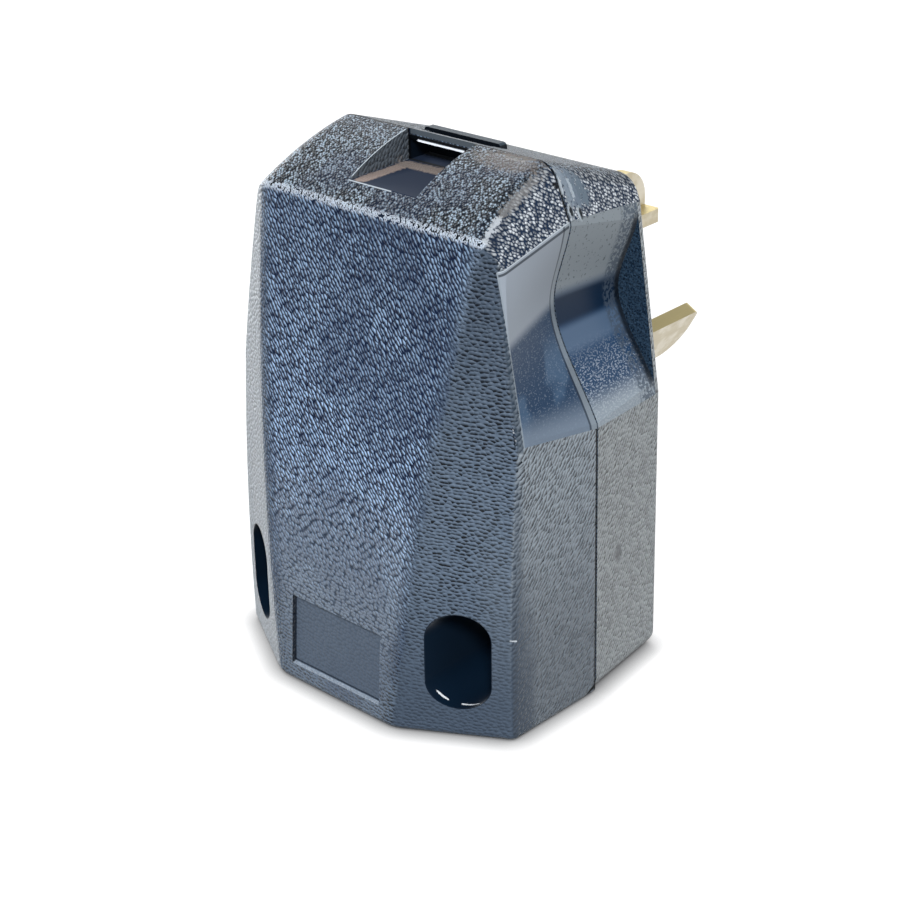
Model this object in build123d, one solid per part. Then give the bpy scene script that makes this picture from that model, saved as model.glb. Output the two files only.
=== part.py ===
from build123d import *
import math
import os

# Angled three-blade power plug: a moulded front cover and rear housing, closed on a flat parting plane,
# with the blades, terminals, cover screws and cord clamp that they hold.
# Working frame: parting plane y = 0, foot z = 0, middle x = 0, blades pointing along +Y, +Z up.
# The finished pieces are shifted so that the origin is the middle of the mating face.

# Outline of the parting plane, shared by both halves (millimetres)
HALF_WIDTH = 26.0
CREST_HEIGHT = 74.3
SHOULDER_HEIGHT = 40.3
CORNER_HEIGHT = 7.1
CORNER_INSET = 4.6
CORNER_LEAN = 0.40
WALL = 2.6
SEAM_GROOVE = 0.25
SEAM_LAND = 0.9

# Front cover: leaning panel, roof, corner facets
COVER_FOOT_DEPTH = 24.6
RIDGE_DEPTH = 14.4
RIDGE_DROP = 6.3
PANEL_BULGE = 1.4
ROOF_BULGE = 0.9
COVER_EDGE_DEPTH = 14.3
COVER_TAPER = 0.5
COVER_SHOULDER_RISE = 2.2
COVER_CORNER_INSET = 4.0
COVER_CORNER_DROP = 2.8
PANEL_FOOT_HALF_WIDTH = 10.8
PANEL_TOP_INSET = 2.6
FACET_ANGLE = 30.0
FACET_TOP_LEAN = 1.0
FACET_BULGE = 1.6
PANEL_EDGE_RADIUS = 5.0
SIDE_EDGE_RADIUS = 1.5
ROOF_CORNER_RADIUS = 3.5
RIDGE_RADIUS = 0.9
FOOT_RADIUS = 1.0

# Recessed bare plate at the foot of the panel
PLATE_HALF_WIDTH = 8.4
PLATE_LOW = 2.8
PLATE_HEIGHT = 10.4
PLATE_RECESS = 0.5

# Rear housing, narrowing to the mating face
REAR_DEPTH = 16.0
REAR_TAPER = 1.9
REAR_SHOULDER_DROP = 0.8
REAR_CORNER_INSET = 3.6
REAR_CORNER_HEIGHT = 3.2
REAR_ROOF_DROP = 5.5
FACE_WALL = 3.0
FACE_EDGE_RADIUS = 1.0
REAR_FOOT_RADIUS = 2.4

# Finger scoops, deepest at the parting plane and against the rear flange
SCOOP_DEPTH = 4.5
SCOOP_WAIST_DROP = 10.9
SCOOP_FULLNESS = 0.8
SCOOP_RUN_OUT = 0.15
SCOOP_OVERRUN = 1.3
FLANGE_THICKNESS = 1.4
FLANGE_SCOOP_DEPTH = 4.6
FLANGE_SCOOP_RISE = 1.1
FLANGE_SCOOP_DROP = 2.6
FLANGE_WAIST_DROP = 2.9

# Latch notch in the roof, with the bar that the cover's tongue hooks under
NOTCH_HALF_WIDTH = 5.9
NOTCH_DEPTH = 4.2
BAR_THICKNESS = 1.4
BAR_HEIGHT = 1.4
BAR_LEDGE_HALF_WIDTH = 4.1
BAR_LEDGE = 0.45
CATCH_SLOT = 2.4
RIM_HALF_WIDTH = 6.8
RIM_THICKNESS = 1.2
RIM_DROP = 0.8
TONGUE_THICKNESS = 1.6
TONGUE_REACH = 2.6

# Cover screws in their obround wells, and captive nuts
WELL_INSET = 7.05
WELL_FOOT = 4.45
WELL_WIDTH = 7.7
WELL_HEIGHT = 14.1
WELL_WALL = 1.9
SEAT_THICKNESS = 6.0
COVER_SCREW_D = 4.2
COVER_SCREW_LENGTH = 15.0
COVER_HEAD_D = 7.0
COVER_HEAD_HEIGHT = 2.8
NUT_WIDTH = 7.0
NUT_THICKNESS = 2.8
NUT_BOSS_WALL = 2.0

# Blades, placed from the middle of the mating face
BLADE_THICKNESS = 2.0
BLADE_WIDTH = 8.0
BLADE_REACH = 22.0
BLADE_TOP_RADIUS = 1.0
BLADE_LOW_RADIUS = 4.8
BLADE_SLANT = 30.0
LINE_BLADE_INSET = 14.6
LINE_BLADE_RISE = 4.5
NEUTRAL_X = 3.1
NEUTRAL_RISE = 19.4
NEUTRAL_HEIGHT = 7.7
NEUTRAL_FOOT = 2.7
NEUTRAL_TIP_RADIUS = 4.2
FOOT_TIP_RADIUS = 0.5

# Terminals on the blades' inner tabs
TAB_WIDTH = 7.6
TAB_LENGTH = 8.8
BEND_RADIUS = 1.0
TERMINAL_SCREW_D = 4.2
TERMINAL_HEAD_D = 7.4
TERMINAL_HEAD_HEIGHT = 2.6
TERMINAL_SCREW_POINT = 1.6
PRESSURE_PLATE = 7.2
PRESSURE_PLATE_THICKNESS = 1.2
PLATE_MARGIN = 0.2
HOLD_RIB = 1.8

# Cord entry and cord clamp
CORD_ENTRY_D = 18.0
COLLAR_WALL = 2.0
COLLAR_HEIGHT = 9.0
CLAMP_RISE = 0.55
CLAMP_HEIGHT = 6.0
CLAMP_THICKNESS = 2.2
CLAMP_HALF_LENGTH = 17.0
CLAMP_SPACING = 15.0
CLAMP_SADDLE = 1.6
CLAMP_SCREW_X = 13.0
CLAMP_SCREW_D = 3.5
CLAMP_HEAD_D = 6.0
CLAMP_HEAD_HEIGHT = 2.2
CLAMP_CHEEK = 1.6
CLAMP_REST_HEIGHT = 4.0

# Fits
FIT_GAP = 0.15
SCREW_GAP = 0.25
THREAD_GAP = 0.05
SLOT_WIDTH = 1.2
SLOT_DEPTH = 1.1

# Heights and half widths that follow from the sizes above
SCOOP_TOP_HEIGHT = CREST_HEIGHT - CORNER_HEIGHT
SCOOP_TOP_HALF_WIDTH = HALF_WIDTH - CORNER_INSET
SCOOP_WAIST_HEIGHT = SCOOP_TOP_HEIGHT - SCOOP_WAIST_DROP
RIDGE_HEIGHT = CREST_HEIGHT - RIDGE_DROP
COVER_EDGE_HALF_WIDTH = HALF_WIDTH - COVER_TAPER
COVER_EDGE_SHOULDER = SHOULDER_HEIGHT + COVER_SHOULDER_RISE
COVER_EDGE_TOP_HALF_WIDTH = HALF_WIDTH - COVER_CORNER_INSET
COVER_EDGE_TOP_HEIGHT = SCOOP_TOP_HEIGHT - COVER_CORNER_DROP
PANEL_TOP_HALF_WIDTH = COVER_EDGE_TOP_HALF_WIDTH - PANEL_TOP_INSET
REAR_HALF_WIDTH = HALF_WIDTH - REAR_TAPER
REAR_SHOULDER_HEIGHT = SHOULDER_HEIGHT - REAR_SHOULDER_DROP
REAR_TOP_HALF_WIDTH = REAR_HALF_WIDTH - REAR_CORNER_INSET
REAR_ROOF_HEIGHT = CREST_HEIGHT - REAR_ROOF_DROP
REAR_TOP_HEIGHT = REAR_ROOF_HEIGHT - REAR_CORNER_HEIGHT
FACE_CENTRE_Z = REAR_ROOF_HEIGHT / 2
FLANGE_SCOOP_LOW = SHOULDER_HEIGHT + FLANGE_SCOOP_RISE
FLANGE_SCOOP_TOP = SCOOP_TOP_HEIGHT - FLANGE_SCOOP_DROP
FLANGE_WAIST_HEIGHT = SCOOP_WAIST_HEIGHT - FLANGE_WAIST_DROP
NOTCH_FLOOR = CREST_HEIGHT - NOTCH_DEPTH
RIM_HEIGHT = CREST_HEIGHT - RIM_DROP
CATCH_BACK = BAR_THICKNESS + CATCH_SLOT
WELL_X = HALF_WIDTH - WELL_INSET
WELL_Z = WELL_FOOT + WELL_HEIGHT / 2
SEAT_Y = -SEAT_THICKNESS
FLOOR_Y = REAR_DEPTH - FACE_WALL
TAB_TOP_Y = FLOOR_Y - BLADE_THICKNESS
BLADE_TIP_Y = REAR_DEPTH + BLADE_REACH
LINE_BLADE_X = HALF_WIDTH - LINE_BLADE_INSET
LINE_BLADE_Z = FACE_CENTRE_Z + LINE_BLADE_RISE
NEUTRAL_LOW = FACE_CENTRE_Z + NEUTRAL_RISE
NEUTRAL_MIDDLE = NEUTRAL_LOW + NEUTRAL_HEIGHT / 2
TERMINAL_OFFSET = TAB_LENGTH - PLATE_MARGIN - PRESSURE_PLATE / 2
CORD_RADIUS = CORD_ENTRY_D / 2
CLAMP_LOW = WELL_FOOT + WELL_HEIGHT + WELL_WALL + CLAMP_RISE
CLAMP_Z = CLAMP_LOW + CLAMP_HEIGHT / 2
CLAMP_FACE_Y = CLAMP_SPACING / 2
CLAMP_BACK_Y = CLAMP_FACE_Y + CLAMP_THICKNESS
UP = Vector(0, 0, 1)
FLATNESS = 1e-6


def block(x0, x1, y0, y1, z0, z1):
    """Box between two corners."""
    middle = ((x0 + x1) / 2, (y0 + y1) / 2, (z0 + z1) / 2)
    return Pos(*middle) * Box(x1 - x0, y1 - y0, z1 - z0)


def rod(diameter, x, z, y0, y1):
    """Round bar along Y."""
    turn = Rot(-90, 0, 0)
    return Pos(x, (y0 + y1) / 2, z) * turn * Cylinder(diameter / 2, y1 - y0)


def obround(width, height, y0, y1):
    """Upright obround bar along Y, about the right-hand cover screw."""
    plane = Plane((WELL_X, y0, WELL_Z), x_dir=(1, 0, 0), z_dir=(0, 1, 0))
    return extrude(plane * SlotOverall(height, width, rotation=90), amount=y1 - y0)


def both_sides(solid):
    """A solid on the right with its mirror image on the left."""
    return solid + mirror(solid, about=Plane.YZ)


def between(start, end, share):
    """Point part way from one (half width, height) point to another."""
    return tuple(a + (b - a) * share for a, b in zip(start, end))


def corners(points, y):
    """Corners at y of the mirrored outline through some (half width, height) points, foot first."""
    right = [Vector(x, y, z) for x, z in points]
    left = [Vector(-x, y, z) for x, z in reversed(points)]
    return right + left


def side_face(a, b, c, d):
    """Face on four corners: flat if they share a plane, otherwise ruled from edge ab to edge dc."""
    if abs((b - a).cross(c - a).dot(d - a)) < FLATNESS:
        return make_face(Polyline(a, b, c, d, close=True))
    return Face.make_surface_from_curves(Edge.make_line(a, b), Edge.make_line(d, c))


def skinned(front, back):
    """Solid between two outlines with as many corners each."""
    faces = [make_face(Polyline(*front, close=True)), make_face(Polyline(*back, close=True))]
    for i in range(len(front)):
        faces.append(side_face(front[i - 1], front[i], back[i], back[i - 1]))
    return Part() + Solid(Shell([face for made in faces for face in made.faces()]))


def bowed(start, end, outward, bulge):
    """Arc from start to end whose middle stands out by bulge."""
    middle = (start + end) / 2 + outward * bulge
    return Edge.make_three_point_arc(start, middle, end)


def cover_points(y, inset):
    """Side outline of the cover at y, moved inwards by inset."""
    share = -y / COVER_EDGE_DEPTH
    shoulder = between((HALF_WIDTH, SHOULDER_HEIGHT), (COVER_EDGE_HALF_WIDTH, COVER_EDGE_SHOULDER), share)
    corner = between(
        (SCOOP_TOP_HALF_WIDTH, SCOOP_TOP_HEIGHT), (COVER_EDGE_TOP_HALF_WIDTH, COVER_EDGE_TOP_HEIGHT), share
    )
    top = CREST_HEIGHT + WALL
    top_half_width = corner[0] - CORNER_LEAN * (top - corner[1])
    return [
        (shoulder[0] - inset, inset),
        (shoulder[0] - inset, shoulder[1]),
        (corner[0] - inset, corner[1]),
        (top_half_width - inset, top),
    ]


def cover_form(inset=0.0):
    """Outer form of the cover, or its cavity when moved inwards by a wall."""
    deep = -COVER_FOOT_DEPTH - WALL
    sides = skinned(corners(cover_points(0, inset), 0), corners(cover_points(deep, inset), deep))
    heel = Vector(0, 0, inset)
    foot = Vector(0, inset - COVER_FOOT_DEPTH, inset)
    ridge = Vector(0, inset - RIDGE_DEPTH, RIDGE_HEIGHT - inset)
    crest = Vector(0, 0, CREST_HEIGHT - inset)
    across = Vector(1, 0, 0)
    panel = bowed(foot, ridge, across.cross(ridge - foot).normalized(), PANEL_BULGE)
    roof = bowed(ridge, crest, across.cross(crest - ridge).normalized(), ROOF_BULGE)
    profile = make_face([Edge.make_line(heel, foot), panel, roof, Edge.make_line(crest, heel)])
    form = sides & extrude(profile, amount=HALF_WIDTH + WALL, dir=(1, 0, 0), both=True)
    return form - both_sides(facet_cut(inset))


def facet_cut(inset):
    """What the slanted facet takes off the right front corner."""
    turn = math.radians(FACET_ANGLE)
    outward = Vector(math.sin(turn), -math.cos(turn), 0)
    along = Vector(math.cos(turn), math.sin(turn), 0)
    foot_reach = outward.dot(Vector(PANEL_FOOT_HALF_WIDTH, -COVER_FOOT_DEPTH, 0))
    top_reach = outward.dot(Vector(PANEL_TOP_HALF_WIDTH, -RIDGE_DEPTH, 0)) - FACET_TOP_LEAN
    foot = outward * (foot_reach - inset)
    top = outward * (top_reach - inset) + UP * CREST_HEIGHT
    far = outward * (HALF_WIDTH + COVER_FOOT_DEPTH)
    face = make_face(
        [
            bowed(foot, top, outward, FACET_BULGE),
            Edge.make_line(top, far + UP * CREST_HEIGHT),
            Edge.make_line(far + UP * CREST_HEIGHT, far),
            Edge.make_line(far, foot),
        ]
    )
    return extrude(face, amount=HALF_WIDTH + COVER_FOOT_DEPTH, dir=along, both=True)


def rear_points(y, inset):
    """Side outline of the rear housing at y, moved inwards by inset."""
    share = y / REAR_DEPTH
    corner_top = SCOOP_TOP_HALF_WIDTH - CORNER_LEAN * (CREST_HEIGHT - SCOOP_TOP_HEIGHT)
    rear_top = REAR_TOP_HALF_WIDTH - CORNER_LEAN * (REAR_ROOF_HEIGHT - REAR_TOP_HEIGHT)
    shoulder = between((HALF_WIDTH, SHOULDER_HEIGHT), (REAR_HALF_WIDTH, REAR_SHOULDER_HEIGHT), share)
    corner = between((SCOOP_TOP_HALF_WIDTH, SCOOP_TOP_HEIGHT), (REAR_TOP_HALF_WIDTH, REAR_TOP_HEIGHT), share)
    roof = between((corner_top, CREST_HEIGHT), (rear_top, REAR_ROOF_HEIGHT), share)
    return [
        (shoulder[0] - inset, inset),
        (shoulder[0] - inset, shoulder[1]),
        (corner[0] - inset, corner[1]),
        (roof[0] - inset, roof[1] - inset),
    ]


def housing_form(inset=0.0, depth=REAR_DEPTH):
    """Outer form of the rear housing, or its cavity when moved inwards by a wall."""
    return skinned(corners(rear_points(0, inset), 0), corners(rear_points(depth, inset), depth))


def scoop_points(low, top, waist_height, depth, fullness):
    """Scoop curve from its lower to its upper edge, running out past both."""
    share = (waist_height - low[1]) / (top[1] - low[1])
    floor = (between(low, top, share)[0] - depth, waist_height)
    belly = between(low, floor, 1 / 2)
    return [
        between(low, floor, -SCOOP_RUN_OUT),
        (belly[0] - fullness, belly[1]),
        floor,
        between(top, floor, 1 / 2),
        between(top, floor, -SCOOP_RUN_OUT),
    ]


def scoop_section(points, y, shift):
    """Closed section of the scoop cut at y, moved inwards by shift."""
    placed = [(x - shift, y, z) for x, z in points]
    far = HALF_WIDTH * 2
    low, top = placed[0], placed[-1]
    outside = Polyline(top, (far, y, top[2]), (far, y, low[2]), low)
    return make_face(Spline(*placed).edges() + outside.edges())


def parting_scoop():
    """Scoop curve at the parting plane."""
    low = (HALF_WIDTH, SHOULDER_HEIGHT)
    top = (SCOOP_TOP_HALF_WIDTH, SCOOP_TOP_HEIGHT)
    return scoop_points(low, top, SCOOP_WAIST_HEIGHT, SCOOP_DEPTH, SCOOP_FULLNESS)


def cover_scoop(shift=0.0):
    """Right-hand finger scoop in the cover, fading out at the cover's side edge."""
    start = parting_scoop()
    low = (COVER_EDGE_HALF_WIDTH, COVER_EDGE_SHOULDER)
    top = (COVER_EDGE_TOP_HALF_WIDTH, COVER_EDGE_TOP_HEIGHT)
    edge = scoop_points(low, top, SCOOP_WAIST_HEIGHT, 0.0, 0.0)
    end = [between(a, b, SCOOP_OVERRUN) for a, b in zip(start, edge)]
    far = -COVER_EDGE_DEPTH * SCOOP_OVERRUN
    return loft([scoop_section(start, 0, shift), scoop_section(end, far, shift)], ruled=True)


def housing_scoop(shift=0.0):
    """Right-hand finger scoop in the rear housing, ending at the flange."""
    depth = REAR_DEPTH - FLANGE_THICKNESS
    side = rear_points(depth, 0)
    lean = (side[2][0] - side[1][0]) / (side[2][1] - side[1][1])
    low = (side[1][0] + lean * (FLANGE_SCOOP_LOW - side[1][1]), FLANGE_SCOOP_LOW)
    top = (side[1][0] + lean * (FLANGE_SCOOP_TOP - side[1][1]), FLANGE_SCOOP_TOP)
    end = scoop_points(low, top, FLANGE_WAIST_HEIGHT, FLANGE_SCOOP_DEPTH, SCOOP_FULLNESS)
    return loft([scoop_section(parting_scoop(), 0, shift), scoop_section(end, depth, shift)], ruled=True)


def front_cover():
    """Front cover with its scoops, notch, plate recess, screw wells and hold-down ribs."""
    cavity = cover_form(WALL) - both_sides(cover_scoop(WALL))
    roof_pad = block(-NOTCH_HALF_WIDTH - WALL, NOTCH_HALF_WIDTH + WALL, -COVER_FOOT_DEPTH, 0,
                     NOTCH_FLOOR - WALL, CREST_HEIGHT)
    body = rounded_cover() - both_sides(cover_scoop()) - (cavity - roof_pad)
    inside = cover_form(WALL / 2)
    well_wall = obround(WELL_WIDTH + 2 * WELL_WALL, WELL_HEIGHT + 2 * WELL_WALL, -COVER_FOOT_DEPTH, 0)
    body = body + (both_sides(well_wall) & inside) + (collar(-1) & inside)
    for rib in (hold_rib(), mirror(hold_rib(), about=Plane.YZ), neutral_rib()):
        body = body + (rib & (inside + housing_form()))
    body = body - both_sides(obround(WELL_WIDTH, WELL_HEIGHT, -COVER_FOOT_DEPTH - WALL, SEAT_Y))
    body = body - both_sides(rod(COVER_SCREW_D + 2 * SCREW_GAP, WELL_X, WELL_Z, SEAT_Y, 0))
    body = body - cord_bore() - plate_recess()
    body = body - block(-NOTCH_HALF_WIDTH, NOTCH_HALF_WIDTH, -COVER_FOOT_DEPTH, 0, NOTCH_FLOOR, CREST_HEIGHT)
    return body + tongue()


def rounded_cover():
    """Cover form with its edges rounded."""
    form = cover_form()
    roof_corners = form.edges().filter_by(
        lambda e: e.bounding_box().size.Y > RIDGE_DEPTH / 2 and e.bounding_box().min.Z > SCOOP_TOP_HEIGHT
    )
    form = fillet(roof_corners, ROOF_CORNER_RADIUS)
    panel_edges = form.edges().filter_by(lambda e: e.bounding_box().size.Z > COVER_EDGE_SHOULDER + WALL)
    form = fillet(panel_edges, PANEL_EDGE_RADIUS)
    side_edges = form.edges().filter_by(
        lambda e: e.center().Y < WALL - RIDGE_DEPTH
        and abs(e.center().X) > COVER_EDGE_TOP_HALF_WIDTH
        and e.bounding_box().size.Z > WALL
    )
    form = fillet(side_edges, SIDE_EDGE_RADIUS)
    ridge = form.edges().filter_by(
        lambda e: e.center().Z > RIDGE_HEIGHT - RIDGE_RADIUS and e.center().Y < RIDGE_RADIUS - RIDGE_DEPTH
    )
    form = fillet(ridge, RIDGE_RADIUS)
    foot = form.edges().filter_by(lambda e: e.center().Z < FIT_GAP and e.center().Y < -FIT_GAP)
    return fillet(foot, FOOT_RADIUS)


def on_line_blade(solid):
    """A solid made about the line blade's middle, turned and moved to the right-hand blade."""
    return Pos(LINE_BLADE_X, 0, LINE_BLADE_Z) * Rot(0, BLADE_SLANT, 0) * solid


def hold_rib():
    """Rib of the cover that keeps the right-hand line blade's tab down on the housing floor."""
    start = -BLADE_THICKNESS / 2
    return on_line_blade(block(start, start + HOLD_RIB, -COVER_FOOT_DEPTH, TAB_TOP_Y - FIT_GAP,
                               -TAB_WIDTH / 2, TAB_WIDTH / 2))


def neutral_rib():
    """Rib of the cover that keeps the neutral blade's tab down on the housing floor."""
    end = NEUTRAL_X + BLADE_THICKNESS / 2
    return block(end - HOLD_RIB, end, -COVER_FOOT_DEPTH, TAB_TOP_Y - FIT_GAP,
                 NEUTRAL_LOW, NEUTRAL_LOW + NEUTRAL_HEIGHT)


def collar(side):
    """Half of the collar round the cord entry, in front of (-1) or behind (1) the parting plane."""
    outer = CORD_RADIUS + COLLAR_WALL
    ring = Pos(0, 0, COLLAR_HEIGHT / 2) * Cylinder(outer, COLLAR_HEIGHT)
    return ring & block(-outer, outer, min(0, side * outer), max(0, side * outer), 0, COLLAR_HEIGHT)


def cord_bore():
    """Round way in for the cord, through the foot and its collar."""
    return Cylinder(CORD_RADIUS, 2 * (COLLAR_HEIGHT + WALL))


def plate_recess():
    """Shallow bare recess that follows the panel's curve at its foot."""
    patch = block(-PLATE_HALF_WIDTH, PLATE_HALF_WIDTH, -COVER_FOOT_DEPTH - WALL, WALL - COVER_FOOT_DEPTH,
                  PLATE_LOW, PLATE_LOW + PLATE_HEIGHT)
    return patch - cover_form(PLATE_RECESS)


def tongue(gap=0.0):
    """Tongue of the cover that hooks under the housing's bar, or the room that it needs."""
    half = NOTCH_HALF_WIDTH - FIT_GAP + gap
    return block(-half, half, -WALL, TONGUE_REACH + gap, NOTCH_FLOOR - TONGUE_THICKNESS - gap, NOTCH_FLOOR)


def rounded_housing():
    """Rear housing form with its edges rounded."""
    form = housing_form()
    roof_corners = form.edges().filter_by(
        lambda e: e.bounding_box().size.Y > REAR_DEPTH / 2 and e.bounding_box().min.Z > REAR_TOP_HEIGHT
    )
    roof_corners = roof_corners.sort_by(Axis.Z)[-2:]
    form = fillet(roof_corners, ROOF_CORNER_RADIUS)
    foot = form.edges().filter_by(lambda e: e.center().Z < FIT_GAP and e.bounding_box().size.Y > REAR_DEPTH / 2)
    form = fillet(foot, REAR_FOOT_RADIUS)
    rim = form.edges().filter_by(lambda e: e.bounding_box().min.Y > REAR_DEPTH - FIT_GAP)
    return fillet(rim, FACE_EDGE_RADIUS)


def rear_housing():
    """Rear housing with its scoops, latch bar, nut bosses, clamp rests and blade slots."""
    cavity = housing_form(WALL, FLOOR_Y) - both_sides(housing_scoop(WALL))
    body = rounded_housing() - both_sides(housing_scoop()) - cavity
    inside = housing_form(WALL / 2)
    nut_boss = NUT_WIDTH / 2 + NUT_BOSS_WALL
    catch_half = NOTCH_HALF_WIDTH + WALL
    catch_low = NOTCH_FLOOR - TONGUE_THICKNESS - WALL
    catch = block(-catch_half, catch_half, 0, CATCH_BACK + RIM_THICKNESS, catch_low, CREST_HEIGHT)
    boss = block(WELL_X - nut_boss, WELL_X + nut_boss, 0, FLOOR_Y, WELL_Z - nut_boss, WELL_Z + nut_boss)
    for solid in (catch, both_sides(boss), collar(1), both_sides(clamp_rest())):
        body = body + (solid & inside)
    body = body + catch_rim()
    body = body - catch_room() - seam_groove() - cord_bore() + bar_ledge()
    nut = NUT_WIDTH / 2 + FIT_GAP
    pocket = block(WELL_X - nut, WELL_X + nut, 0, FIT_GAP + NUT_THICKNESS, WELL_Z - nut, WELL_Z + nut)
    screw_way = rod(COVER_SCREW_D + 2 * SCREW_GAP, WELL_X, WELL_Z, 0, SEAT_Y + COVER_SCREW_LENGTH + SCREW_GAP)
    body = body - both_sides(pocket + screw_way)
    body = body - both_sides(on_line_blade(line_slot())) - neutral_slot()
    for x, z in terminal_places().values():
        body = body - rod(TERMINAL_SCREW_D + 2 * SCREW_GAP, x, z, FLOOR_Y,
                          FLOOR_Y + TERMINAL_SCREW_POINT + SCREW_GAP)
    return body


def catch_rim():
    """Raised rim behind the latch slot."""
    rim = block(-RIM_HALF_WIDTH, RIM_HALF_WIDTH, CATCH_BACK, CATCH_BACK + RIM_THICKNESS,
                NOTCH_FLOOR, RIM_HEIGHT)
    ends = rim.edges().filter_by(Axis.Y).group_by(Axis.Z)[-1]
    return fillet(ends, RIM_THICKNESS / 2)


def catch_room():
    """Room under and behind the latch bar, and for the cover's tongue."""
    half = NOTCH_HALF_WIDTH
    under = block(-half, half, 0, CATCH_BACK, NOTCH_FLOOR, CREST_HEIGHT - BAR_HEIGHT)
    behind = block(-half, half, BAR_THICKNESS, CATCH_BACK, NOTCH_FLOOR, RIM_HEIGHT)
    return under + behind + tongue(FIT_GAP)


def bar_ledge():
    """Smooth sloping lip along the lower front of the latch bar."""
    low = CREST_HEIGHT - BAR_HEIGHT
    profile = Polyline((0, 0, low), (0, -BAR_LEDGE, low), (0, 0, low + BAR_LEDGE), close=True)
    return extrude(make_face(profile), amount=BAR_LEDGE_HALF_WIDTH, dir=(1, 0, 0), both=True)


def seam_groove():
    """Shallow rebate round the housing's front edge, the dark line of the seam."""
    face = make_face(Polyline(*corners(rear_points(0, SEAM_LAND), 0), close=True))
    land = extrude(face, amount=SEAM_GROOVE, dir=(0, 1, 0))
    land = land - both_sides(housing_scoop(SEAM_LAND))
    reach = HALF_WIDTH + WALL
    return block(-reach, reach, 0, SEAM_GROOVE, -WALL, CREST_HEIGHT + WALL) - land


def clamp_rest():
    """Rest for the right-hand end of the rear clamp bar, with a cheek past its end."""
    high = CLAMP_LOW + CLAMP_REST_HEIGHT
    end = CLAMP_HALF_LENGTH + FIT_GAP
    rest = block(CORD_RADIUS + CLAMP_CHEEK, end, CLAMP_BACK_Y, FLOOR_Y, CLAMP_LOW, high)
    return rest + block(end, end + CLAMP_CHEEK, CLAMP_FACE_Y, FLOOR_Y, CLAMP_LOW, high)


def line_slot():
    """Slot in the mating wall for a line blade, made about the blade's middle."""
    half_t = BLADE_THICKNESS / 2 + FIT_GAP
    half_w = BLADE_WIDTH / 2 + FIT_GAP
    return block(-half_t, half_t, FLOOR_Y, REAR_DEPTH, -half_w, half_w)


def neutral_section(gap, start, end):
    """L-shaped section of the neutral blade from one y to another, grown by a gap."""
    left = NEUTRAL_X - BLADE_THICKNESS / 2 - gap
    right = NEUTRAL_X + BLADE_THICKNESS / 2 + gap
    low = NEUTRAL_LOW - gap
    upright = block(left, right, start, end, low, NEUTRAL_LOW + NEUTRAL_HEIGHT + gap)
    return upright + block(left, right + NEUTRAL_FOOT, start, end, low, NEUTRAL_LOW + BLADE_THICKNESS + gap)


def neutral_slot():
    """Slot in the mating wall for the neutral blade."""
    return neutral_section(FIT_GAP, FLOOR_Y, REAR_DEPTH)


def terminal_places():
    """Middle (x, z) of each terminal screw."""
    turn = math.radians(BLADE_SLANT)
    x = LINE_BLADE_X + TERMINAL_OFFSET * math.cos(turn)
    z = LINE_BLADE_Z - TERMINAL_OFFSET * math.sin(turn)
    return {
        "neutral": (NEUTRAL_X - TERMINAL_OFFSET, NEUTRAL_MIDDLE),
        "line_left": (-x, z),
        "line_right": (x, z),
    }


def line_blade():
    """Right-hand line blade: rounded tip, and a tab bent over for its terminal."""
    half_t = BLADE_THICKNESS / 2
    half_w = BLADE_WIDTH / 2
    blade = block(-half_t, half_t, TAB_TOP_Y, BLADE_TIP_Y, -half_w, half_w)
    tip = blade.edges().filter_by(Axis.X).group_by(Axis.Y)[-1].sort_by(Axis.Z)
    blade = fillet(tip[0], BLADE_LOW_RADIUS)
    tip = blade.edges().filter_by(Axis.X).group_by(Axis.Y)[-1].sort_by(Axis.Z)
    blade = fillet(tip[-1], BLADE_TOP_RADIUS)
    tab = block(-half_t, TAB_LENGTH, TAB_TOP_Y, FLOOR_Y, -TAB_WIDTH / 2, TAB_WIDTH / 2)
    shape = blade + tab
    bend = shape.edges().filter_by(Axis.Z).group_by(Axis.Y)[0].sort_by(Axis.X)[0]
    shape = fillet(bend, BEND_RADIUS)
    return on_line_blade(shape - rod(TERMINAL_SCREW_D + 2 * THREAD_GAP, TERMINAL_OFFSET, 0, TAB_TOP_Y, FLOOR_Y))


def neutral_blade():
    """L-shaped neutral blade with a tab bent over for its terminal."""
    shape = neutral_section(0.0, TAB_TOP_Y, BLADE_TIP_Y)
    top = shape.edges().filter_by(Axis.X).group_by(Axis.Y)[-1].sort_by(Axis.Z)[-1]
    shape = fillet(top, NEUTRAL_TIP_RADIUS)
    foot = shape.edges().filter_by(Axis.Z).group_by(Axis.Y)[-1].sort_by(Axis.X)[-1]
    shape = fillet(foot, FOOT_TIP_RADIUS)
    start = NEUTRAL_X + BLADE_THICKNESS / 2
    shape = shape + block(NEUTRAL_X - TAB_LENGTH, start, TAB_TOP_Y, FLOOR_Y,
                          NEUTRAL_LOW, NEUTRAL_LOW + NEUTRAL_HEIGHT)
    bend = shape.edges().filter_by(Axis.Z).group_by(Axis.Y)[0].filter_by(lambda e: e.center().X > NEUTRAL_X)
    shape = fillet(bend.sort_by(Axis.X)[0], BEND_RADIUS)
    x, z = terminal_places()["neutral"]
    return shape - rod(TERMINAL_SCREW_D + 2 * THREAD_GAP, x, z, TAB_TOP_Y, FLOOR_Y)


def slotted_screw(x, z, seat, diameter, length, head_d, head_height):
    """Slotted screw along +Y, its head standing in front of the seat."""
    screw = rod(head_d, x, z, seat - head_height, seat) + rod(diameter, x, z, seat, seat + length)
    front = seat - head_height
    slot = block(x - SLOT_WIDTH / 2, x + SLOT_WIDTH / 2, front, front + SLOT_DEPTH, z - head_d, z + head_d)
    return screw - slot


def terminal_screw(place):
    """Terminal screw through its pressure plate into a blade's tab."""
    seat = TAB_TOP_Y - PRESSURE_PLATE_THICKNESS
    length = FLOOR_Y + TERMINAL_SCREW_POINT - seat
    return slotted_screw(*place, seat, TERMINAL_SCREW_D, length, TERMINAL_HEAD_D, TERMINAL_HEAD_HEIGHT)


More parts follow.
